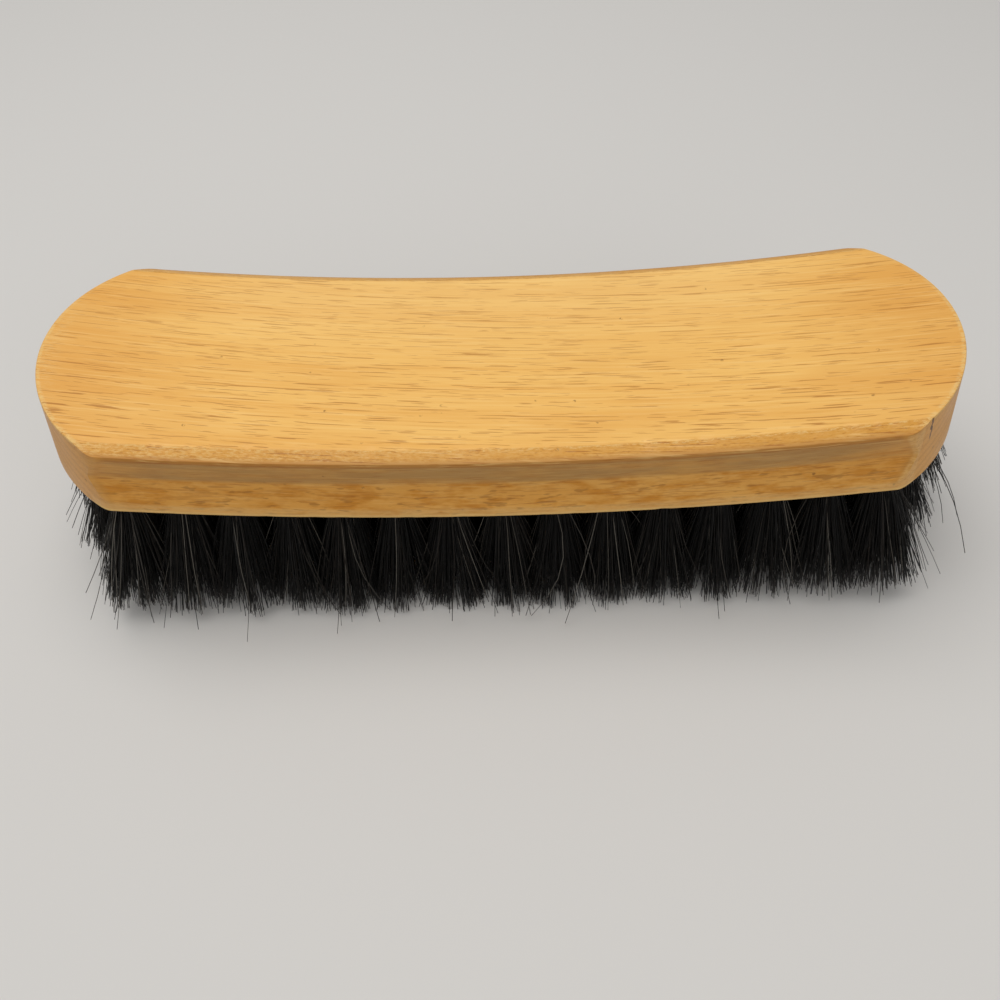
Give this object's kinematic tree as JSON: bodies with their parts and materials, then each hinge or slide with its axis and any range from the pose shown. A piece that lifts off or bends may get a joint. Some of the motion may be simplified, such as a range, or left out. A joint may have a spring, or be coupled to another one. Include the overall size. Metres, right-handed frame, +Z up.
{
  "type": "shoe shine brush",
  "caption": "Shoe shine brush: a saddle-curved wooden block with rounded ends and finger grooves, filled with dark horsehair tufts for buffing polished leather.",
  "frame": {"origin": "centre of the bristle tips under the middle of the block, where the brush rests", "axes": "+X along the length of the block, +Y across it, +Z up, out of the hollow top of the block"},
  "size_m": [0.1814, 0.059, 0.0507],
  "materials": {
    "beech": "clear varnish, worn at the edges",
    "horsehair": "loose natural hair, slightly glossy",
    "anchor_wire": "galvanised flat wire"
  },
  "bodies": {
    "root": {"block": "beech", "tuft_column_01": "horsehair", "tuft_column_02": "horsehair", "tuft_column_03": "horsehair", "tuft_column_04": "horsehair", "tuft_column_05": "horsehair", "tuft_column_06": "horsehair", "tuft_column_07": "horsehair", "tuft_column_08": "horsehair", "tuft_column_09": "horsehair", "tuft_column_10": "horsehair", "tuft_column_11": "horsehair", "tuft_column_12": "horsehair", "tuft_column_13": "horsehair", "tuft_column_14": "horsehair", "tuft_column_15": "horsehair", "tuft_column_16": "horsehair", "tuft_column_17": "horsehair", "tuft_column_18": "horsehair", "tuft_column_19": "horsehair", "tuft_column_20": "horsehair", "tuft_column_21": "horsehair", "tuft_column_22": "horsehair", "tuft_column_23": "horsehair", "tuft_column_24": "horsehair", "tuft_column_25": "horsehair", "tuft_column_26": "horsehair", "tuft_column_27": "horsehair", "tuft_column_28": "horsehair", "tuft_column_29": "horsehair", "tuft_column_30": "horsehair", "tuft_column_31": "horsehair", "tuft_column_32": "horsehair", "tuft_column_33": "horsehair", "front_edge_anchors": "anchor_wire", "front_inner_anchors": "anchor_wire", "middle_anchors": "anchor_wire", "back_inner_anchors": "anchor_wire", "back_edge_anchors": "anchor_wire"}
  },
  "joints": []
}
